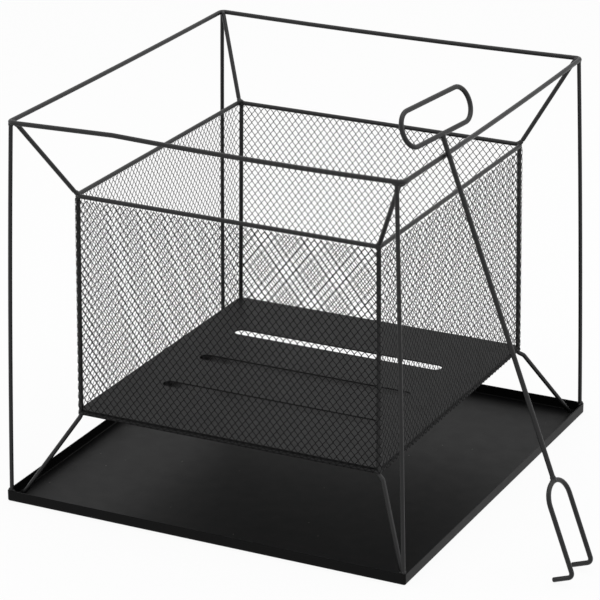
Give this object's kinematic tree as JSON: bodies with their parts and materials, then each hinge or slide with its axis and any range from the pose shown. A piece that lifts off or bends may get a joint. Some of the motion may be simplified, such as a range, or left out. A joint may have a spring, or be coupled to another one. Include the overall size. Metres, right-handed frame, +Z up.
{
  "type": "fire bowl",
  "caption": "Square open fire basket of mesh and bent rods, hung in a rod frame over a shallow ash tray, with a two-pronged poker leaning on its rail.",
  "frame": {"origin": "on the ground, at the centre of the ash tray's flat underside", "axes": "+Z up; +X towards the side where the poker leans; -Y towards the front, the long side of the tray along Y"},
  "size_m": [0.5741, 0.4532, 0.4401],
  "materials": {
    "tray_black": "satin black powder coat on folded sheet steel",
    "rod_black": "satin black powder coat on welded steel rod",
    "mesh_black": "matte black powder coat on expanded steel mesh",
    "plate_black": "matte black powder coat on sheet steel",
    "poker_black": "satin black powder coat on bent steel rod"
  },
  "bodies": {
    "frame": {"ash_tray": "tray_black", "outer_top_ring": "rod_black", "basket_top_ring": "rod_black", "post_front_left": "rod_black", "post_front_right": "rod_black", "post_back_right": "rod_black", "post_back_left": "rod_black", "strut_front_left": "rod_black", "strut_front_right": "rod_black", "strut_back_right": "rod_black", "strut_back_left": "rod_black", "corner_rod_front_left": "rod_black", "corner_rod_front_right": "rod_black", "corner_rod_back_right": "rod_black", "corner_rod_back_left": "rod_black", "foot_rail_front": "rod_black", "foot_rail_right": "rod_black", "foot_rail_back": "rod_black", "foot_rail_left": "rod_black", "mesh_front": "mesh_black", "mesh_right": "mesh_black", "mesh_back": "mesh_black", "mesh_left": "mesh_black", "base_plate": "plate_black"},
    "poker": {"poker_shaft": "poker_black", "poker_handle": "poker_black", "poker_fork": "poker_black"}
  },
  "joints": [
    {"name": "poker_lift", "type": "slide", "parent": "frame", "child": "poker", "axis": [0, 0, 1], "range_m": [0, 0.3]}
  ]
}
